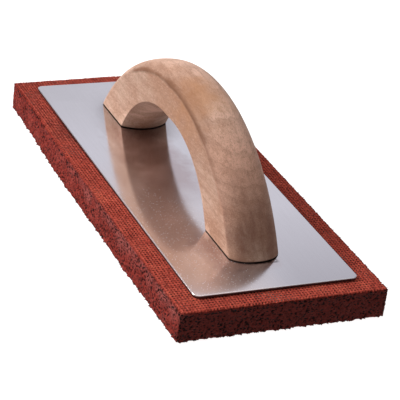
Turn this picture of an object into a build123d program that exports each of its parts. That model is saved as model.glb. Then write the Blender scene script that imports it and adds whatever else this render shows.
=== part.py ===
from build123d import *
import os
from math import radians, tan

# A rubber float for finishing mortar and plaster: a sponge-rubber pad bonded to an
# aluminium backing plate, with an arched wooden handle screwed on from underneath.
# +X runs along the float, +Y across it, +Z up. The origin is the middle of the sole.
# All sizes are in millimetres.

# ------------------------------------------------------------- driving dimensions
pad_length = 241.3
pad_width = 101.6
pad_thickness = 15.9
pad_corner_radius = 1.2

plate_margin = 9.5              # bare rubber left all round the plate
plate_thickness = 1.3
plate_corner_radius = 3.0
plate_edge_round = 0.4          # top edge, worn smooth

film_thickness = 0.3            # contact cement between plate and pad
film_inset = 1.1                # the cement stops short of the plate's edge

handle_length = 180.0           # heel to toe along the plate
handle_width = 25.4             # planed stock
handle_height = 53.7            # above the plate
crown_drop = 5.0                # how far the outer face falls from its middle to its edge
crown_middle_half = 6.5         # half width of the gently curved middle of that face
crown_middle_drop = 0.8
arris_radius = 0.9
bow_core_radius = 60.0          # the turned blank is hollow inside this, within the opening

opening_length = 113.2          # between the feet, along the side faces
opening_height = 32.7
opening_lean = 58.6             # angle of the feet's inner faces above the plate, degrees
opening_shoulder_radius = 56.5
cutter_depth = 26.0             # the opening's tool reaches this far behind its edge
cutter_overlap = 2.0            # and this far beyond each side face
palm_drop = 4.25                # crown of the inner face
foot_edge_round = 0.6           # edges of the feet, eased all round

screw_head_diameter = 8.2
screw_head_angle = 82
screw_head_rim = 0.2            # straight rim of the head
screw_shank_diameter = 4.2
screw_root_diameter = 3.0
screw_length = 19.0
screw_plain_length = 4.6        # head and plain shank, before the thread
screw_thread_pitch = 1.8
screw_thread_turns = 6
screw_thread_flank = 0.4        # share of the pitch taken by each flank
recess_span = 4.6               # cross recess, tip to tip
recess_blade = 1.1
recess_depth = 1.5
screw_offsets = {"inner": 60.5, "outer": 74.5}  # distance from the handle's middle
bore_clearance = 0.05

# ------------------------------------------------------------- derived dimensions
film_base = pad_thickness
plate_base = film_base + film_thickness
plate_top = plate_base + plate_thickness
plate_length = pad_length - 2 * plate_margin
plate_width = pad_width - 2 * plate_margin

half_length = handle_length / 2
half_width = handle_width / 2
bow_radius = (half_length**2 + handle_height**2) / (2 * handle_height)
bow_centre = plate_top + handle_height - bow_radius
bow_rim = bow_centre + bow_radius
bow_core = bow_centre + bow_core_radius

opening_rise = tan(radians(opening_lean))
opening_top_half = opening_length / 2 - opening_height / opening_rise
opening_foot_half = opening_length / 2 + plate_top / opening_rise
cutter_half_width = half_width + cutter_overlap

head_radius = screw_head_diameter / 2
head_slope = tan(radians(screw_head_angle / 2))
head_height = screw_head_rim + (head_radius - screw_shank_diameter / 2) / head_slope
sink_radius = head_radius + screw_head_rim * head_slope
sink_radius_in_foot = sink_radius - plate_thickness * head_slope
bore_radius = screw_shank_diameter / 2 + bore_clearance
bore_depth = screw_length - plate_thickness + bore_clearance

screw_places = {
    "_".join(("screw", end, row)): side * offset
    for end, side in (("rear", -1), ("front", 1))
    for row, offset in screw_offsets.items()
}


def facing_down(height):
    """A plane at a height that faces the sole, for holes drilled upwards."""
    return Plane(origin=(0, 0, height), x_dir=(1, 0, 0), z_dir=(0, 0, -1))


def write(piece, label):
    """Label a finished piece and write its file."""
    piece.part.label = label
    export_step(piece.part, "parts/" + label + ".step")


os.makedirs("parts", exist_ok=True)

# ------------------------------------------------------------- sponge-rubber pad
with BuildPart() as rubber_pad:
    with BuildSketch():
        RectangleRounded(pad_length, pad_width, pad_corner_radius)
    extrude(amount=pad_thickness)

write(rubber_pad, "rubber_pad")

# ------------------------------------------------------------- film of contact cement
with BuildPart() as adhesive_film:
    with BuildSketch(Plane.XY.offset(film_base)):
        RectangleRounded(
            plate_length - 2 * film_inset,
            plate_width - 2 * film_inset,
            plate_corner_radius - film_inset,
        )
    extrude(amount=film_thickness)

write(adhesive_film, "adhesive_film")

# ------------------------------------------------------------- aluminium backing plate
with BuildPart() as backing_plate:
    with BuildSketch(Plane.XY.offset(plate_base)):
        RectangleRounded(plate_length, plate_width, plate_corner_radius)
    extrude(amount=plate_thickness)
    fillet(backing_plate.faces().sort_by(Axis.Z)[-1].edges(), plate_edge_round)
    with Locations(facing_down(plate_base)):
        with Locations([(place, 0) for place in screw_places.values()]):
            CounterSinkHole(
                screw_shank_diameter / 2, sink_radius, plate_thickness, screw_head_angle
            )

write(backing_plate, "backing_plate")

# ------------------------------------------------------------- wooden handle
# The bow is turned about a cross axis below the plate, so its outer face is a round arch
# that is also crowned from side to side. The hand opening is then cut with a tool whose
# top is hollow, which leaves the palm side crowned as well.
with BuildPart() as handle:
    with BuildSketch(Plane.YZ):
        with BuildLine():
            middle = ThreePointArc(
                (-crown_middle_half, bow_rim - crown_middle_drop),
                (0, bow_rim),
                (crown_middle_half, bow_rim - crown_middle_drop),
            )
            right_edge = (half_width, bow_rim - crown_drop)
            left_edge = (-half_width, bow_rim - crown_drop)
            TangentArc(middle @ 1, right_edge, tangent=middle % 1)
            TangentArc(middle @ 0, left_edge, tangent=-(middle % 0))
            Polyline(
                right_edge, (half_width, bow_core), (-half_width, bow_core), left_edge
            )
        make_face()
    revolve(axis=Axis((0, 0, bow_centre), (0, 1, 0)))
    split(bisect_by=Plane.XY.offset(plate_top), keep=Keep.TOP)

    with BuildLine(Plane.XZ) as opening_path:
        FilletPolyline(
            (-opening_foot_half, 0),
            (-opening_top_half, plate_top + opening_height),
            (opening_top_half, plate_top + opening_height),
            (opening_foot_half, 0),
            radius=opening_shoulder_radius,
        )
    path = opening_path.line
    with BuildSketch(Plane(origin=path @ 0, x_dir=(0, 1, 0), z_dir=path % 0)):
        with BuildLine():
            ThreePointArc((-half_width, 0), (0, -palm_drop), (half_width, 0))
            Polyline(
                (half_width, 0),
                (cutter_half_width, 0),
                (cutter_half_width, -cutter_depth),
                (-cutter_half_width, -cutter_depth),
                (-cutter_half_width, 0),
                (-half_width, 0),
            )
        make_face()
    sweep(path=path, mode=Mode.SUBTRACT)

    side_edges = handle.faces().filter_by(Axis.Y).edges()
    long_edges = side_edges.filter_by(
        lambda edge: edge.center().Z > plate_top + arris_radius
    )
    outer_arrises = long_edges.filter_by(
        lambda edge: edge.geom_type == GeomType.CIRCLE
        and edge.radius > bow_radius - 2 * crown_drop
    )
    fillet(outer_arrises, arris_radius)
    soles = handle.faces().filter_by(
        lambda face: abs(face.center().Z - plate_top) < foot_edge_round
    )
    fillet(soles.edges(), foot_edge_round)

    with Locations(facing_down(plate_top)):
        with Locations([(place, 0) for place in screw_places.values()]):
            CounterSinkHole(
                bore_radius, sink_radius_in_foot, bore_depth, screw_head_angle
            )

write(handle, "handle")


# ------------------------------------------------------------- wood screws
def screw_outline():
    """Half of a screw's section, from the middle of its head to its point."""
    shank = screw_shank_diameter / 2
    root = screw_root_diameter / 2
    flank = screw_thread_flank * screw_thread_pitch
    outline = [
        (0, 0),
        (head_radius, 0),
        (head_radius, screw_head_rim),
        (shank, head_height),
        (shank, screw_plain_length),
    ]
    for turn in range(screw_thread_turns):
        start = screw_plain_length + turn * screw_thread_pitch
        outline.append((root, start + flank))
        outline.append((root, start + screw_thread_pitch - flank))
        outline.append((shank, start + screw_thread_pitch))
    outline.append((root, start + screw_thread_pitch + flank))
    outline.append((0, screw_length))
    return outline


for label, place in screw_places.items():
    seat = Plane(origin=(place, 0, plate_base), x_dir=(1, 0, 0), z_dir=(0, -1, 0))
    with BuildPart() as screw:
        with BuildSketch(seat):
            with BuildLine():
                Polyline(*screw_outline(), close=True)
            make_face()
        revolve(axis=Axis((place, 0, plate_base), (0, 0, 1)))
        with BuildSketch(Plane(origin=(place, 0, plate_base))):
            Rectangle(recess_span, recess_blade)
            Rectangle(recess_blade, recess_span)
        extrude(amount=recess_depth, mode=Mode.SUBTRACT)
    write(screw, label)
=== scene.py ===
import math

import bpy
import numpy as np
from mathutils import Matrix, Vector


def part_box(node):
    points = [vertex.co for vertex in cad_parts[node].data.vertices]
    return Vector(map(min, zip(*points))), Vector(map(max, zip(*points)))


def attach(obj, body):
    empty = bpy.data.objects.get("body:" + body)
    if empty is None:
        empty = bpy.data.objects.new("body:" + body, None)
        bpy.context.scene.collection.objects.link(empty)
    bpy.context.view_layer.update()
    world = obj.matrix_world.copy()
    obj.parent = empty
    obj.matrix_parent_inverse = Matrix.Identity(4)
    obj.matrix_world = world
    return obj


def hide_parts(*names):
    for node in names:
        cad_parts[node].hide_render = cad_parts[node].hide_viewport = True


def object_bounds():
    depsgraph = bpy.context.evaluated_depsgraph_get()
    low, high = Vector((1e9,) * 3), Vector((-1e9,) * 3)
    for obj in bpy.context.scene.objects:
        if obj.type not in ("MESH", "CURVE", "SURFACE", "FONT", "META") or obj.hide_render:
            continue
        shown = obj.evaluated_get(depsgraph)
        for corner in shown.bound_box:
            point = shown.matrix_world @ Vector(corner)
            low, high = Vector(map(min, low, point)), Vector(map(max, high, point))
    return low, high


# A rubber float: a sponge-rubber pad bonded to an aluminium plate, with an arched wooden
# handle. +X runs along the float to its toe, +Y across it, +Z up. The camera stands beyond the
# toe, towards -Y, so that end and that long side are called near. Sizes and places in this
# script are in millimetres of the frame, and MM turns them into Blender's metres.

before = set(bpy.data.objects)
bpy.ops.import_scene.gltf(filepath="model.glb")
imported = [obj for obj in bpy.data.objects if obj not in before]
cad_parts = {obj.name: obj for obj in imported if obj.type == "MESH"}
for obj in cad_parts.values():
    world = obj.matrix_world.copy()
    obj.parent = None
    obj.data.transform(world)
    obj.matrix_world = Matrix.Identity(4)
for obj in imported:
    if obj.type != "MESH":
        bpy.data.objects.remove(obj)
cad_low, cad_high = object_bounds()
MM = 0.001


def corners(node):
    """A node's lowest and highest corners, in millimetres."""
    return [np.array(corner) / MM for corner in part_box(node)]


# ------------------------------------------------------------------ repeatable noise
LATTICE_FACTORS = (374761393, 668265263, 2147483647)
SEED_FACTOR = 974634777
MIXING_STEPS = ((13, 1274126177), (15, 668265263))      # a shift and a factor each
LAST_SHIFT = 16
BITS_32 = 0xFFFFFFFF
BITS_24 = 0xFFFFFF


def hashed(i, j, k, seed):
    """A random number from 0 to 1 for each point of a whole-number lattice."""
    mixed = seed * SEED_FACTOR
    for numbers, factor in zip((i, j, k), LATTICE_FACTORS):
        mixed = mixed + numbers.astype(np.int64) * factor
    mixed = mixed & BITS_32
    for shift, factor in MIXING_STEPS:
        mixed = ((mixed ^ (mixed >> shift)) * factor) & BITS_32
    mixed = mixed ^ (mixed >> LAST_SHIFT)
    return (mixed & BITS_24) / BITS_24


def eased(t):
    """Smooth from 0 to 1, as t goes from 0 to 1."""
    return t * t * (3 - 2 * t)


def ramp_between(value, start, end):
    """0 before start, 1 after end, and smooth in between."""
    return eased(np.clip((value - start) / (end - start), 0, 1))


def smooth_noise(points, cell, seed):
    """Value noise from -1 to 1 at points (n, 3), with features about one cell long."""
    scaled = points / np.asarray(cell, float)
    base = np.floor(scaled)
    t = eased(scaled - base)
    base = base.astype(np.int64)
    total = np.zeros(len(points))
    for corner in np.ndindex(2, 2, 2):
        weight = np.where(corner, t, 1 - t).prod(axis=1)
        total += weight * hashed(*(base + corner).T, seed)
    return 2 * total - 1


def pores(points, cell, smallest, largest, seed):
    """Depth from 0 to 1 of round pores, one to a cell, at points (n, 3)."""
    cell = np.asarray(cell, float)
    scaled = points / cell
    base = np.floor(scaled).astype(np.int64)
    depth = np.zeros(len(points))
    for neighbour in np.ndindex(3, 3, 3):
        home = base + np.array(neighbour) - 1
        centre = np.stack([hashed(*home.T, seed + n) for n in range(3)], axis=1)
        radius = smallest + (largest - smallest) * hashed(*home.T, seed + 3) ** 2
        gap = (home + centre - scaled) * cell
        bowl = np.clip(1 - (gap**2).sum(1) / radius**2, 0, 1)
        shallower_if_small = np.clip(radius / largest * 1.4, 0, 1)
        depth = np.maximum(depth, bowl * shallower_if_small)
    return depth


# ------------------------------------------------------------------ sponge-rubber pad
PAD_ALONG, PAD_ACROSS, PAD_UP = 552, 264, 26    # cells of the surface lattice
FINE_ENDS, FINE_SIDES = 24, 28      # cells of the bare margin that keep the fine lattice
HIDDEN_STEP = 8         # cells joined into one under the plate
SOLE_STEP = 4           # and on the sole
CLOTH_STEP = 4          # lattice cells to one thread of the cloth it was cured on
THREAD_WANDER = 0.14    # how far the print's threads wander, in threads
WEFT_SLANT, WARP_SLANT = 0.012, 0.004       # threads of slant to a millimetre
DEEPEST_SUM = 2.8       # sum of the three waves that makes the deepest pit
# cells of the noise that varies the print. They are tall, so that it is alike at all heights
BROAD, PATCHES, SMALL_PATCHES = (24, 24, 200), (12, 12, 200), (4, 4, 200)

# how far the block stands outside the CAD pad before its surface is worked inwards
PROUD_LOW = np.array([0.9, 1.1, 0.0])
PROUD_HIGH = np.array([0.5, 1.4, 0.0])
# radii of its edges along x, y and z: the near side and the sole roll over, the rest is crisp
ROUND_LOW = np.array([0.6, 1.5, 1.2])
ROUND_HIGH = np.array([0.5, 0.7, 0.5])

FOOT_NIB = 0.95         # the longest torn nibs, round the foot
TOP_NIB = 0.8           # and where the printed face was cut
NIB_LIFT = 0.9          # how far they lift the sole's edge
END_SKEW = 0.9          # how far the far end is cut out of square
SIDE_RUN_IN = 0.9       # how far the near side runs in at the far end
SIDE_SAG = 1.1          # how far its foot sags outwards
SIDE_BAND = 12          # how far in from the near side both of these reach


def pad_faces(number):
    """Faces of the pad, coarser where they are hidden. number gives a lattice point's number."""
    faces = []
    walk = ((1, 0), (0, 1), (-1, 0), (0, -1))

    def patch(k, i_ends, j_ends, step):
        """Square faces of one level, whose outer edges keep every point of the lattice."""
        for i in range(*i_ends, step):
            for j in range(*j_ends, step):
                ring = []
                starts = ((i, j), (i + step, j), (i + step, j + step), (i, j + step))
                for (a, b), (along_i, along_j) in zip(starts, walk):
                    outer = (along_j and a in i_ends) or (along_i and b in j_ends)
                    for n in range(step if outer else 1):
                        ring.append(number(a + along_i * n, b + along_j * n, k))
                faces.append(ring if k == PAD_UP else ring[::-1])

    all_i, all_j = (0, PAD_ALONG), (0, PAD_ACROSS)
    middle_i = (FINE_ENDS, PAD_ALONG - FINE_ENDS)
    middle_j = (FINE_SIDES, PAD_ACROSS - FINE_SIDES)
    patch(PAD_UP, all_i, (0, middle_j[0]), 1)
    patch(PAD_UP, all_i, (middle_j[1], PAD_ACROSS), 1)
    patch(PAD_UP, (0, middle_i[0]), middle_j, 1)
    patch(PAD_UP, (middle_i[1], PAD_ALONG), middle_j, 1)
    patch(PAD_UP, middle_i, middle_j, HIDDEN_STEP)
    patch(0, all_i, all_j, SOLE_STEP)

    rim = [(i, 0) for i in range(PAD_ALONG)]
    rim += [(PAD_ALONG, j) for j in range(PAD_ACROSS)]
    rim += [(i, PAD_ACROSS) for i in range(PAD_ALONG, 0, -1)]
    rim += [(0, j) for j in range(PAD_ACROSS, 0, -1)]
    for k in range(PAD_UP):
        for this, following in zip(rim, rim[1:] + rim[:1]):
            ring = ((*this, k), (*following, k), (*following, k + 1), (*this, k + 1))
            faces.append([number(*point) for point in ring])
    return faces


def rounded_block(grid, low, high):
    """Points of a block with rounded edges, and their outward normals, at lattice points."""
    flat = low + grid / (PAD_ALONG, PAD_ACROSS, PAD_UP) * (high - low)
    inner = np.clip(flat, low + ROUND_LOW, high - ROUND_HIGH)
    offset = flat - inner
    radius = np.where(offset < 0, ROUND_LOW, ROUND_HIGH)
    unit = offset / radius
    length = np.linalg.norm(unit, axis=1, keepdims=True)
    length[length == 0] = 1
    normal = unit / radius
    normal /= np.maximum(np.linalg.norm(normal, axis=1, keepdims=True), 1e-9)
    return inner + unit / length * radius, normal


def cloth_print(block, grid, normal, margin):
    """Depth from 0 to 1 of the cloth's print, and of the teeth it leaves along a cut edge."""
    x, y, _ = block.T
    wander, wander_across = (THREAD_WANDER * smooth_noise(block, BROAD, seed) for seed in (11, 12))
    u = grid[:, 0] / CLOTH_STEP + wander + WEFT_SLANT * y
    v = grid[:, 1] / CLOTH_STEP + wander_across - WARP_SLANT * x
    warp, weft, twill = (np.cos(2 * math.pi * turn) for turn in (u, v, u + v))
    weave = np.clip((warp + weft + twill) / DEEPEST_SUM, 0, 1)
    crossing = (np.round(turn).astype(np.int64) for turn in (u, v, 0 * u))
    each = hashed(*crossing, seed=5)
    patchy = 0.5 + 0.6 * smooth_noise(block, PATCHES, seed=21)
    patchy += 0.25 * smooth_noise(block, SMALL_PATCHES, seed=22)
    strength = np.clip(0.7 + 0.5 * patchy, 0.5, 1.15) * (0.6 + 0.6 * each)
    strength *= 0.55 + 0.45 * ramp_between(margin, 0.8, 2.2)
    on_long_side = np.abs(normal[:, 1]) > np.abs(normal[:, 0])
    teeth = 0.5 + 0.5 * np.cos(2 * math.pi * np.where(on_long_side, u, v))
    return np.clip(weave * strength, 0, 1), teeth


def tear_nibs(points, grid):
    """Pull torn nibs out all round the foot, and smaller ones along the top's cut edge."""
    i, j, k = grid.T
    outward = np.stack([np.sign(i - PAD_ALONG / 2), np.sign(j - PAD_ACROSS / 2)], axis=1)
    outward[:, 0] *= (i == 0) | (i == PAD_ALONG)
    outward[:, 1] *= (j == 0) | (j == PAD_ACROSS)
    torn = hashed(i, j, k, seed=61)
    reach = FOOT_NIB * torn**3 * (k <= 1) + TOP_NIB * torn**2 * (k == PAD_UP)
    points[:, :2] += outward * reach[:, None]
    on_rim = np.abs(outward).sum(1) > 0
    points[:, 2] += NIB_LIFT * hashed(i, j, k, seed=62) ** 2 * on_rim * (k == 0)


def cut_out_of_true(points, block, low, high):
    """Skew the far end, run the near side in towards it, and let that side's foot sag."""
    x, y, z = block.T
    height = (z - low[2]) / (high[2] - low[2])
    points[:, 0] -= END_SKEW * ramp_between(y, -50, 10) * ramp_between(-x, 100, 120)
    sagging = ramp_between(x, -100, -30) * (1 - 0.35 * ramp_between(x, 80, 120))
    near_side = ramp_between(low[1] + SIDE_BAND - y, 0, SIDE_BAND)
    points[:, 1] -= SIDE_SAG * sagging * near_side * (1 - height) ** 1.3
    points[:, 1] += SIDE_RUN_IN * (1 - ramp_between(x, -115, -40)) * near_side


def pad_mesh():
    """The pad as a mesh, which says at each point how deep its pits are and if it was cut."""
    low, high = corners("rubber_pad")
    low -= PROUD_LOW
    high += PROUD_HIGH
    numbers = {}
    faces = pad_faces(lambda *point: numbers.setdefault(point, len(numbers)))
    grid = np.array(list(numbers), np.int64)
    block, normal = rounded_block(grid, low, high)

    top = np.clip(normal[:, 2], 0, 1)
    sole = np.clip(-normal[:, 2], 0, 1)
    side = np.sqrt(np.clip(1 - top**2 - sole**2, 0, 1))
    lip = side * sole * 2
    rolled = side * top * 2
    margin = np.minimum(block - low, high - block)[:, :2].min(axis=1)
    printed, teeth = cloth_print(block, grid, normal, margin)

    # open cells where the sheet was cut, and the tearing between them
    open_cells = np.maximum(
        pores(block, cell=(2.0, 2.0, 1.1), smallest=0.35, largest=0.85, seed=31),
        0.7 * pores(block, cell=(1.2, 1.2, 0.8), smallest=0.25, largest=0.5, seed=41),
    )
    rough = 0.5 - 0.5 * smooth_noise(block, cell=(3.2, 3.2, 1.8), seed=51)
    fine = 0.5 - 0.5 * smooth_noise(block, cell=0.9, seed=52)
    bites = 0.5 - 0.5 * smooth_noise(block, cell=(1.9, 1.9, 6.0), seed=53)
    nibs = ramp_between(smooth_noise(block, cell=(0.95, 0.95, 4.0), seed=54), -0.15, 0.15)
    ragged_edge = 1 - ramp_between(margin, 0.3, 1.8)

    # how deep each of these goes, face by face
    depth = (
        top * (0.55 * printed + 0.10 * rough + 0.10 * fine)
        + top * ragged_edge * (0.5 * teeth * (0.4 + bites) + 0.2 * fine)
        + side * (0.85 * open_cells + 0.40 * rough * bites + 0.30 * fine)
        + sole * (0.20 * rough + 0.12 * fine)
        + lip * (0.9 * ramp_between(bites, 0.45, 0.7) + 1.5 * nibs * bites + 0.7 * open_cells)
        + rolled * (0.75 * teeth * (0.5 + bites) + 0.2 * fine)
    )
    points = block - normal * depth[:, None]
    tear_nibs(points, grid)
    cut_out_of_true(points, block, low, high)

    data = bpy.data.meshes.new("rubber_pad_sponge")
    data.from_pydata((points * MM).tolist(), [], faces)
    data.polygons.foreach_set("use_smooth", [True] * len(data.polygons))
    pit = np.maximum(top * printed, side * open_cells)
    cut = np.clip(side + 0.7 * sole, 0, 1)
    for name, values in (("pit", pit), ("cut", cut)):
        layer = data.attributes.new(name, "FLOAT", "POINT")
        layer.data.foreach_set("value", values.astype(np.float32))
    data.validate()
    data.update()
    return data


pad = bpy.data.objects.new("sponge_pad", pad_mesh())
bpy.context.scene.collection.objects.link(pad)


# ------------------------------------------------------------------ materials
NOISE_RANGE = (0.3, 0.7)        # a noise node's numbers are nearly all between these


class Finish:
    """A material and its nodes. Distances in it are in millimetres of the object's frame."""

    def __init__(self, name):
        self.material = bpy.data.materials.new(name)
        self.material.use_nodes = True
        self.tree = self.material.node_tree
        self.tree.nodes.clear()
        self.shader = self.tree.nodes.new("ShaderNodeBsdfPrincipled")
        self.output = self.tree.nodes.new("ShaderNodeOutputMaterial")
        self.tree.links.new(self.shader.outputs["BSDF"], self.output.inputs["Surface"])
        place = self.tree.nodes.new("ShaderNodeTexCoord").outputs["Object"]
        scaled = self.node("ShaderNodeVectorMath", {0: place, "Scale": 1 / MM}, operation="SCALE")
        self.place = scaled.outputs[0]

    def put(self, socket, value):
        """Link a socket, or set its value. A colour is three numbers."""
        if isinstance(value, bpy.types.NodeSocket):
            self.tree.links.new(value, socket)
        elif socket.type == "RGBA":
            socket.default_value = (*value, 1)
        else:
            socket.default_value = value

    def node(self, kind, inputs, **settings):
        made = self.tree.nodes.new(kind)
        for key, value in settings.items():
            setattr(made, key, value)
        for key, value in inputs.items():
            self.put(made.inputs[key], value)
        return made

    def set(self, **inputs):
        for key, value in inputs.items():
            self.put(self.shader.inputs[key.replace("_", " ")], value)

    def attribute(self, name):
        return self.node("ShaderNodeAttribute", {}, attribute_name=name).outputs["Fac"]

    def axes(self):
        """The three coordinates of a point of the surface."""
        return self.node("ShaderNodeSeparateXYZ", {0: self.place}).outputs

    # --- numbers and masks
    def math(self, operation, a, b=0.0, clamp=False):
        made = self.node("ShaderNodeMath", {0: a, 1: b}, operation=operation, use_clamp=clamp)
        return made.outputs[0]

    def product(self, first, *others):
        for other in others:
            first = self.math("MULTIPLY", first, other)
        return first

    def span(self, value, low, high, to_low=0.0, to_high=1.0):
        """A value's way from low to high, from 0 to 1 or between two other numbers."""
        inputs = {
            "Value": value, "From Min": low, "From Max": high, "To Min": to_low, "To Max": to_high
        }
        return self.node("ShaderNodeMapRange", inputs).outputs[0]

    def swing(self, noise, low, high):
        """Noise stretched, so that it runs from low to high."""
        return self.span(noise, *NOISE_RANGE, low, high)

    def band(self, value, start, full, still_full, end):
        """0 at start and at end, and 1 from full to still_full."""
        return self.product(self.span(value, start, full), self.span(value, end, still_full))

    def shaken(self, value, noise, by):
        """A value moved up and down by noise, which gives a mark a natural border."""
        return self.math("ADD", value, self.swing(noise, -by, by))

    def distance(self, place, point, weights=(1, 1, 1)):
        """Distance of a place from a point, with a weight for each axis."""
        gap = self.node("ShaderNodeVectorMath", {0: place, 1: point}, operation="SUBTRACT")
        inputs = {0: gap.outputs[0], 1: weights}
        weighted = self.node("ShaderNodeVectorMath", inputs, operation="MULTIPLY")
        made = self.node("ShaderNodeVectorMath", {0: weighted.outputs[0]}, operation="LENGTH")
        return made.outputs["Value"]

    def hollow(self, reach):
        """1 out in the open, and 0 deep in a crevice narrower than reach."""
        made = self.node("ShaderNodeAmbientOcclusion", {"Distance": reach * MM}, samples=8)
        return made.outputs["AO"]

    # --- patterns
    def turned(self, angles=(0, 0, 0), scale=(1, 1, 1), shift=(0, 0, 0)):
        inputs = {
            "Vector": self.place,
            "Location": shift,
            "Rotation": tuple(math.radians(a) for a in angles),
            "Scale": scale,
        }
        return self.node("ShaderNodeMapping", inputs, vector_type="POINT").outputs[0]

    def noise(self, size, detail=2.0, rough=0.5, source=None):
        inputs = {
            "Vector": source or self.place, "Scale": 1 / size, "Detail": detail, "Roughness": rough
        }
        return self.node("ShaderNodeTexNoise", inputs).outputs["Fac"]

    def cells(self, size, source=None):
        """Distance from the middle of the nearest of many cells."""
        inputs = {"Vector": source or self.place, "Scale": 1 / size}
        return self.node("ShaderNodeTexVoronoi", inputs).outputs["Distance"]

    # --- colours and relief
    def ramp(self, value, *stops):
        made = self.node("ShaderNodeValToRGB", {"Fac": value})
        elements = made.color_ramp.elements
        while len(elements) < len(stops):
            elements.new(0.5)
        for element, (position, colour) in zip(elements, stops):
            element.position = position
            element.color = (*colour, 1)
        return made.outputs["Color"]

    def stained(self, colour, stain, *amounts):
        """A colour turned towards a stain, by the product of the amounts."""
        made = self.node("ShaderNodeMix", {}, data_type="RGBA")
        self.put(made.inputs[0], self.product(*amounts))
        self.put(made.inputs[6], colour)
        self.put(made.inputs[7], stain)
        return made.outputs[2]

    def bump(self, height, depth, under=None):
        inputs = {"Height": height, "Distance": depth * MM}
        if under is not None:
            inputs["Normal"] = under
        return self.node("ShaderNodeBump", inputs).outputs["Normal"]


def sponge_rubber():
    """Brick-red sponge rubber: a printed skin on top, and open cells where it was cut."""
    f = Finish("sponge_rubber")
    skin_shades = (0.42, 0.055, 0.033), (0.56, 0.080, 0.050), (0.68, 0.125, 0.070)
    cut_shades = (0.31, 0.028, 0.018), (0.41, 0.040, 0.026), (0.47, 0.064, 0.046)
    far_shade = (0.20, 0.026, 0.018)
    oily, oily_spot = (0.07, 0.018, 0.014), (-56, -42, 16)
    pale_highlight = (0.56, 0.15, 0.13)
    near_end_painted_shade = (0.22, 0.024, 0.016)
    grain_shade = (0.10, 0.012, 0.009)
    pore_painted_shade = (0.016, 0.003, 0.003)
    ridge_highlight = (0.80, 0.17, 0.11)
    dust = (0.46, 0.34, 0.30)

    pit = f.attribute("pit")
    cut = f.attribute("cut")
    x, y, z = f.axes()
    top = corners("rubber_pad")[1][2]
    mottled = f.noise(9, detail=4, rough=0.65)
    grainy = f.noise(0.8, detail=3, rough=0.75, source=f.turned(scale=(0.7, 0.7, 1.3)))

    # the printed skin, darker towards the far end and at one oily spot
    skin = f.ramp(mottled, *zip((0.30, 0.52, 0.72), skin_shades))
    skin = f.stained(skin, far_shade, f.span(x, 20, -120, 0.0, 0.35))
    spot = f.shaken(f.distance(f.place, oily_spot, (0.45, 1, 1)), f.noise(5, detail=4), 6)
    skin = f.stained(skin, oily, f.span(spot, 10, 1, 0.0, 0.6))

    # the cut faces, with a painted highlight in a pale band along the near side, and painted shade
    # darkening the near end
    open_face = f.ramp(mottled, *zip((0.30, 0.52, 0.70), cut_shades))
    uneven = f.swing(f.noise(11, detail=3), -0.9, 0.5)
    # painted highlight: a pale band high on the near side's cut face
    pale_highlight_band = f.math("ADD", f.span(z, top - 9.5, top - 3.5), uneven)
    pale_highlight_band = f.math("MULTIPLY", pale_highlight_band, f.span(x, -50, 10), clamp=True)
    open_face = f.stained(open_face, pale_highlight, pale_highlight_band, f.span(y, -46, -49), 0.6)
    # painted shade: the near end's cut face is darkened
    open_face = f.stained(open_face, near_end_painted_shade, f.span(x, 117, 120, 0.0, 0.35))

    # pores, which run larger in a seam below the skin, and the print's pits, darkened with painted
    # shade
    colour = f.stained(skin, open_face, cut)
    colour = f.stained(colour, grain_shade, f.span(grainy, 0.42, 0.58, 0.0, 0.6))
    tiny = f.cells(1.4, source=f.turned(scale=(0.75, 0.75, 1.3)))
    seam = f.band(z, top - 3.2, top - 2.2, top - 1.8, top - 1.0)
    widened = f.math("SUBTRACT", tiny, f.product(seam, 0.1))
    tiny_dark = f.product(f.span(widened, 0.26, 0.38, 1.0, 0.0), f.span(cut, 0.2, 0.9, 0.15, 1.0))
    dark = f.math("MAXIMUM", f.span(pit, 0.10, 0.50, 0.0, 0.95), tiny_dark)
    # painted shade: the pits and pores are darkened as if shade lay in them
    colour = f.stained(colour, pore_painted_shade, dark)

    # raised threads of the print get a painted highlight, and dust lies in it here and there
    on_skin = f.span(cut, 0.3, 0.0)
    blotchy = f.product(f.span(pit, 0.06, 0.0), on_skin, f.span(f.noise(1.1, detail=2), 0.45, 0.65))
    colour = f.stained(colour, ridge_highlight, blotchy, 0.6)
    dusty = f.product(f.span(pit, 0.35, 0.7), f.span(f.noise(14, detail=4), 0.52, 0.66), on_skin)
    colour = f.stained(colour, dust, dusty, 0.55)
    normal = f.bump(f.span(tiny, 0.12, 0.35), 0.22)
    normal = f.bump(grainy, 0.25, under=normal)
    f.set(Base_Color=colour, Roughness=0.85, Specular_IOR_Level=0.15, Normal=normal)
    return f.material


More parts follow.
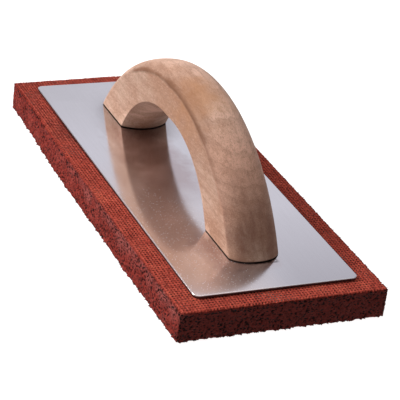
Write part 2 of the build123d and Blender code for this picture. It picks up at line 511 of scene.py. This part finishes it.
def aluminium_sheet():
    """Rolled aluminium, with painted light at the far end and painted shade at the toe, a film,
    finger marks, a dark smear by the toe, pale specks, and painted shade along the edge and round
    the handle's feet.
    """
    f = Finish("aluminium_sheet")
    metal_shades = (0.71, 0.70, 0.71), (0.79, 0.78, 0.79)
    far_end_painted_light = (0.87, 0.86, 0.88)
    toe_painted_shade = (0.56, 0.55, 0.57)
    rolling_lines = (0.50, 0.47, 0.48)
    filmed = (0.89, 0.79, 0.76)
    smudged = (0.63, 0.545, 0.545)
    toe_smear = (0.03, 0.02, 0.017)
    speck_shade = (0.97, 0.97, 0.99)
    edge_painted_shade = (0.045, 0.028, 0.028)
    far_foot_painted_shade = (0.20, 0.17, 0.17)
    crevice = (0.012, 0.008, 0.007)

    top = corners("backing_plate")[1][2]
    x, y, z = f.axes()
    cloudy = f.noise(38, detail=4, rough=0.55)
    rolled = f.noise(0.6, detail=3, rough=0.6, source=f.turned(scale=(0.03, 1, 1)))
    colour = f.ramp(cloudy, *zip((0.3, 0.7), metal_shades))
    # painted light and shade: lighter towards the far end, darker towards the toe
    colour = f.stained(colour, far_end_painted_light, f.span(x, -95, -45, 0.0, 0.8))
    colour = f.stained(colour, toe_painted_shade, f.span(x, 40, 112), f.span(y, -25, 15), 0.85)
    colour = f.stained(colour, rolling_lines, f.swing(rolled, 0.0, 0.10))

    # a film that thickens towards the near corner, and finger marks beside the handle
    film = f.product(f.span(y, 6, -22), f.span(x, -20, 50))
    colour = f.stained(colour, filmed, film, 0.9)
    drift = f.swing(f.noise(15, detail=4, rough=0.6), -5, 5)
    across = f.band(f.math("ADD", y, drift), -28, -18, 0, 10)
    along = f.band(f.math("SUBTRACT", x, drift), -64, -48, 6, 36)
    by_the_toe = f.band(x, 56, 66, 90, 98)
    colour = f.stained(colour, smudged, across, f.math("MAXIMUM", along, by_the_toe), 0.95)

    # a near-black smear just beyond the handle's toe, and pale specks, most of them in the film
    smear = f.product(f.band(y, -8, -2, 8.5, 10.5), f.band(x, 84, 86, 90.0, 91.6))
    colour = f.stained(colour, toe_smear, smear, f.span(f.noise(2.2, detail=3), 0.36, 0.48), 0.9)
    speck = f.math("ADD", f.cells(1.25), f.span(film, 0.0, 0.5, 0.2, 0.0))
    colour = f.stained(colour, speck_shade, f.span(speck, 0.10, 0.15, 0.7, 0.0))

    # painted shade on the sheared edge, round the handle's far foot and in the crevices
    # painted shade: the plate's edge below its top is near black
    colour = f.stained(colour, edge_painted_shade, f.span(z, top - 0.3, top - 0.5), 0.9)
    # painted shade: darker where the handle's far foot hems the plate in
    far_foot_shading = f.span(f.hollow(16), 0.92, 0.5, 0.0, 0.55)
    colour = f.stained(colour, far_foot_painted_shade, far_foot_shading, f.span(x, 10, -30))
    # painted shade: near black in the narrow crevices round the handle's feet
    colour = f.stained(colour, crevice, f.span(f.hollow(0.9), 0.75, 0.35, 0.0, 0.97))

    rough = f.swing(f.noise(16, detail=5, rough=0.65), 0.10, 0.16)
    rough = f.math("ADD", rough, f.span(speck, 0.10, 0.15, 0.4, 0.0))
    rough = f.math("MAXIMUM", rough, f.product(f.span(z, top - 0.04, top - 0.3), 0.35))
    normal = f.bump(rolled, 0.0015)
    normal = f.bump(f.noise(0.5, detail=2), 0.0015, under=normal)
    film_depth = f.product(film, f.swing(f.noise(20, detail=4), 0.6, 1.0))
    metal = f.span(film_depth, 0.0, 1.0, 1.0, 0.9)
    f.set(Base_Color=colour, Metallic=metal, Roughness=rough, Normal=normal)
    return f.material


def sanded_wood():
    """Bare sanded hardwood, with the figure of a bow sawn from a plank, darker at the toe, and
    painted shade along the near arris and round the feet's lowest edge.
    """
    f = Finish("sanded_wood")
    wood_shades = (0.49, 0.262, 0.165), (0.59, 0.352, 0.248), (0.66, 0.435, 0.325)
    pale_wood = (0.98, 0.64, 0.49)
    ruddy_wood = (0.86, 0.46, 0.33)
    late_wood = (0.35, 0.17, 0.10)
    long_streaks = (0.38, 0.18, 0.11)
    flame_shade = (0.95, 0.62, 0.46)
    brown_wood, brown_middle = (0.48, 0.235, 0.135), (8, -13, 58)
    dark_fleck, light_fleck = (0.25, 0.11, 0.066), (0.84, 0.62, 0.50)
    heartwood, heart_middle = (0.56, 0.265, 0.125), (17, -8, 68)
    figure_and_painted_shade = (0.21, 0.080, 0.034)
    toe_darkening = (0.23, 0.095, 0.062)
    foot_painted_shade = (0.012, 0.007, 0.005)

    # the bow's outer face is a cylinder, whose radius and axis come from the handle's box
    low, high = corners("handle")
    rise = high[2] - low[2]
    bow = (high[0] ** 2 + rise**2) / (2 * rise)
    x, y, z = f.axes()
    radius = f.distance(f.place, (0, 0, high[2] - bow), (1, 0, 1))
    outside = f.span(radius, bow - 6.2, bow - 5.2)

    # growth layers lie nearly flat in the plank; the bow cuts across them in long curves
    wavy = f.noise(22, detail=2, source=f.turned(scale=(0.3, 1, 1)))
    layers = f.math("ADD", f.product(y, 0.16), z)
    layers = f.math("ADD", layers, f.product(wavy, 20.0))
    ring = f.math("FRACT", f.product(layers, 1 / 6.3))
    late = f.band(ring, 0.5, 0.95, 0.96, 1.0)
    streaks = f.noise(2.0, detail=5, rough=0.65, source=f.turned(scale=(0.05, 1, 1)))
    fine = f.noise(0.42, detail=3, rough=0.65, source=f.turned(scale=(0.2, 1, 1)))
    patch = f.noise(17, detail=3, rough=0.55, source=f.turned(scale=(0.6, 1, 1), shift=(3, 8, 1)))
    colour = f.ramp(patch, *zip((0.32, 0.50, 0.68), wood_shades))
    pale = f.span(f.shaken(y, f.noise(10, detail=3), 6), -10, 3, 0.2, 0.8)
    colour = f.stained(colour, pale_wood, pale, f.span(x, 74, 50), outside)
    colour = f.stained(colour, ruddy_wood, f.band(x, 30, 56, 66, 84), outside, 0.6)
    colour = f.stained(colour, late_wood, late, 0.3)
    colour = f.stained(colour, long_streaks, f.span(streaks, 0.45, 0.78, 0.0, 0.6))

    # paler slanting figure on the palm side
    slanted = f.turned(angles=(38, 0, 0), scale=(0.7, 0.25, 1.0))
    flame = f.span(f.noise(9, detail=2, source=slanted), 0.45, 0.6)
    colour = f.stained(colour, flame_shade, f.span(radius, bow - 22, bow - 26), flame, 0.6)

    # the arch's middle is browner along its side, and grain shows as light and dark flecks
    brown = f.shaken(f.distance(f.place, brown_middle), f.noise(13, detail=3), 12)
    brown = f.math("ADD", brown, f.span(outside, 0.0, 1.0, 0, 16))
    colour = f.stained(colour, brown_wood, f.span(brown, 46, 18, 0.0, 0.65))
    colour = f.stained(colour, dark_fleck, f.span(fine, 0.50, 0.70, 0.0, 0.55))
    colour = f.stained(colour, light_fleck, f.span(fine, 0.45, 0.28, 0.0, 0.5))

    # honey-coloured heartwood beside the crown, and a dark brown line and band along its near arris,
    # partly figure and partly painted shade
    heart = f.shaken(f.distance(f.place, heart_middle), f.noise(9, detail=3), 8)
    colour = f.stained(colour, heartwood, f.span(heart, 21, 5, 0.0, 0.6))
    inward = f.math("ADD", y, high[1])
    section = f.node("ShaderNodeCombineXYZ", {"X": radius, "Y": inward}).outputs[0]
    ragged = f.noise(5, detail=5, rough=0.65, source=f.turned(scale=(0.4, 1, 1)))
    from_arris = f.shaken(f.distance(section, (bow - 4.6, 0, 0)), ragged, 0.8)
    line = f.span(from_arris, 2.0, 0.3, 0.0, 0.85)
    spread = f.product(f.span(f.shaken(inward, ragged, 2), 8, 0, 0.0, 0.55), outside)
    figured = f.band(x, -56, -44, 34, 70)
    # partly the wood's figure, partly painted shade along the arris
    for shade in (spread, line):
        colour = f.stained(colour, figure_and_painted_shade, shade, figured)

    # the toe's outer face is darker, and painted shade darkens the feet's lowest edge all round
    toe = f.product(f.span(radius, bow - 5.9, bow - 5.3), f.span(x, 56, 80))
    blotchy = f.noise(7, detail=4, rough=0.6, source=f.turned(angles=(25, 0, 0), scale=(0.4, 1, 0.4)))
    colour = f.stained(colour, toe_darkening, toe, f.span(blotchy, 0.35, 0.65, 0.15, 0.75))
    above_plate = f.math("SUBTRACT", z, low[2])
    # painted shade where the feet meet the plate
    colour = f.stained(colour, foot_painted_shade, f.span(above_plate, 0.8, 0.25, 0.0, 0.95))
    f.set(Base_Color=colour, Roughness=0.62, Specular_IOR_Level=0.25, Normal=f.bump(fine, 0.05))
    return f.material


def contact_cement():
    """Lumpy amber contact cement."""
    f = Finish("contact_cement")
    lumpy = f.noise(2.5, detail=3)
    colour = f.ramp(lumpy, (0.35, (0.16, 0.07, 0.02)), (0.65, (0.34, 0.17, 0.05)))
    f.set(Base_Color=colour, Roughness=0.45, Normal=f.bump(lumpy, 0.1))
    return f.material


def screw_steel():
    """Plated steel with fine marks from turning."""
    f = Finish("screw_steel")
    marks = f.noise(0.3, detail=3, source=f.turned(scale=(0.4, 0.4, 2)))
    colour = f.ramp(marks, (0.3, (0.50, 0.48, 0.44)), (0.7, (0.66, 0.63, 0.57)))
    rough = f.swing(f.noise(1.5, detail=3), 0.28, 0.45)
    f.set(Base_Color=colour, Metallic=1.0, Roughness=rough, Normal=f.bump(marks, 0.01))
    return f.material


def dress(node, material):
    """Give a CAD node its material."""
    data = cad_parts[node].data
    data.materials.clear()
    data.materials.append(material)


pad.data.materials.append(sponge_rubber())
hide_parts("rubber_pad")
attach(pad, "root")

dress("backing_plate", aluminium_sheet())
dress("handle", sanded_wood())
dress("adhesive_film", contact_cement())
steel = screw_steel()
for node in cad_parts:
    if node.startswith("screw"):
        dress(node, steel)


# ------------------------------------------------------------------ floor, light and camera
FLOOR_HALF = 3.0                # in metres, as are the lights' sizes and distances
FLOOR_GAP = 0.0002              # keeps the floor clear of the sole
FLOOR_GREY = (0.35, 0.35, 0.35)
FLOOR_GLOW = 0.97               # lifts that grey to nearly white
ROOM_STRENGTH = 0.08            # the room's light on matt surfaces
ROOM_IN_REFLECTIONS = 0.42      # and how bright it looks in glossy ones
ROOM_IN_VIEW = 0.85             # and behind the object
ROOM_COLOUR = (1, 0.93, 0.9, 1)
ROOM_COLOUR_IN_REFLECTIONS = (0.93, 0.92, 1, 1)

# fitted so that the corners of the pad and the plate stand where the photograph has them
CAMERA_ANGLES = (63.346, 27.52, 7.716)      # azimuth, elevation and roll, in degrees
CAMERA_AIM = (13.83, 3.74, -26.1)           # from the middle of the object
CAMERA_DISTANCE = 851.56
CAMERA_SENSOR, CAMERA_LENS = 36, 153.79


def floor():
    """A pale floor, seen from above only, so that the sole can be looked at from below."""
    signs = ((-1, -1), (1, -1), (1, 1), (-1, 1))
    points = [(a * FLOOR_HALF, b * FLOOR_HALF, 0) for a, b in signs]
    data = bpy.data.meshes.new("floor")
    data.from_pydata(points, [], [(0, 1, 2, 3)])
    made = bpy.data.objects.new("floor", data)
    made.location.z = cad_low.z - FLOOR_GAP
    bpy.context.scene.collection.objects.link(made)
    f = Finish("floor_paint")
    f.set(Base_Color=FLOOR_GREY, Roughness=0.9)
    f.set(Emission_Color=(1, 1, 1), Emission_Strength=FLOOR_GLOW)
    clear = f.node("ShaderNodeBsdfTransparent", {}).outputs[0]
    below = f.node("ShaderNodeNewGeometry", {}).outputs["Backfacing"]
    both = f.node("ShaderNodeMixShader", {0: below, 1: f.shader.outputs[0], 2: clear})
    f.tree.links.new(both.outputs[0], f.output.inputs["Surface"])
    data.materials.append(f.material)
    made.visible_diffuse = False
    made.visible_shadow = False


def softbox(name, direction, distance, size, power, colour=(1, 1, 1)):
    """An area light that looks at the object from a direction."""
    light = bpy.data.lights.new(name, "AREA")
    light.shape = "RECTANGLE"
    light.size, light.size_y = size
    light.energy = power
    light.color = colour
    made = bpy.data.objects.new(name, light)
    away = Vector(direction).normalized()
    middle = (cad_low + cad_high) / 2
    made.location = middle + away * distance
    made.rotation_mode = "QUATERNION"
    made.rotation_quaternion = away.to_track_quat("Z", "Y")
    made.visible_camera = False
    bpy.context.scene.collection.objects.link(made)


def camera():
    """The camera at the photograph's angle: low beyond the near end, and a little tilted."""
    azimuth, elevation, roll = (math.radians(angle) for angle in CAMERA_ANGLES)
    aim = (cad_low + cad_high) / 2 + Vector(CAMERA_AIM) * MM
    back = Vector(
        (
            math.sin(azimuth) * math.cos(elevation),
            -math.cos(azimuth) * math.cos(elevation),
            math.sin(elevation),
        )
    )
    level = (-back).cross(Vector((0, 0, 1))).normalized()
    upright = level.cross(-back)
    right = level * math.cos(roll) + upright * math.sin(roll)
    up = upright * math.cos(roll) - level * math.sin(roll)
    data = bpy.data.cameras.new("camera")
    data.sensor_width = CAMERA_SENSOR
    data.lens = CAMERA_LENS
    data.clip_start, data.clip_end = 0.01, 100
    made = bpy.data.objects.new("camera", data)
    turn = Matrix((right, up, back)).transposed().to_4x4()
    made.matrix_world = Matrix.Translation(aim + back * (CAMERA_DISTANCE * MM)) @ turn
    bpy.context.scene.collection.objects.link(made)
    bpy.context.scene.camera = made


def studio():
    """A dim warm room, which looks brighter and cooler in reflections and pale in view."""
    world = bpy.data.worlds.new("studio")
    world.use_nodes = True
    tree = world.node_tree
    background = tree.nodes["Background"]
    rays = tree.nodes.new("ShaderNodeLightPath").outputs
    colour = tree.nodes.new("ShaderNodeMix")
    colour.data_type = "RGBA"
    colour.inputs[6].default_value = ROOM_COLOUR
    colour.inputs[7].default_value = ROOM_COLOUR_IN_REFLECTIONS
    tree.links.new(rays["Is Glossy Ray"], colour.inputs[0])
    tree.links.new(colour.outputs[2], background.inputs["Color"])
    strength = tree.nodes.new("ShaderNodeValue").outputs[0]
    strength.default_value = ROOM_STRENGTH
    seen = {"Is Glossy Ray": ROOM_IN_REFLECTIONS, "Is Camera Ray": ROOM_IN_VIEW}
    for ray, brightness in seen.items():
        chosen = tree.nodes.new("ShaderNodeMapRange")
        tree.links.new(rays[ray], chosen.inputs["Value"])
        tree.links.new(strength, chosen.inputs["To Min"])
        chosen.inputs["To Max"].default_value = brightness
        strength = chosen.outputs[0]
    tree.links.new(strength, background.inputs["Strength"])
    bpy.context.scene.world = world


floor()
softbox("key", (-0.45, -0.75, 0.6), 1.3, (0.8, 0.8), 18.0)
softbox("back_panel", (-0.79, 0.40, 0.46), 1.5, (1.6, 1.1), 1.75, (0.91, 0.89, 1.0))
softbox("overhead", (0.1, 0.08, 0.98), 1.4, (2.0, 2.0), 8.2)
softbox("under", (0.0, 0.0, -1.0), 2.0, (0.6, 0.6), 22.0)
camera()
studio()
bpy.context.scene.view_settings.view_transform = "Standard"
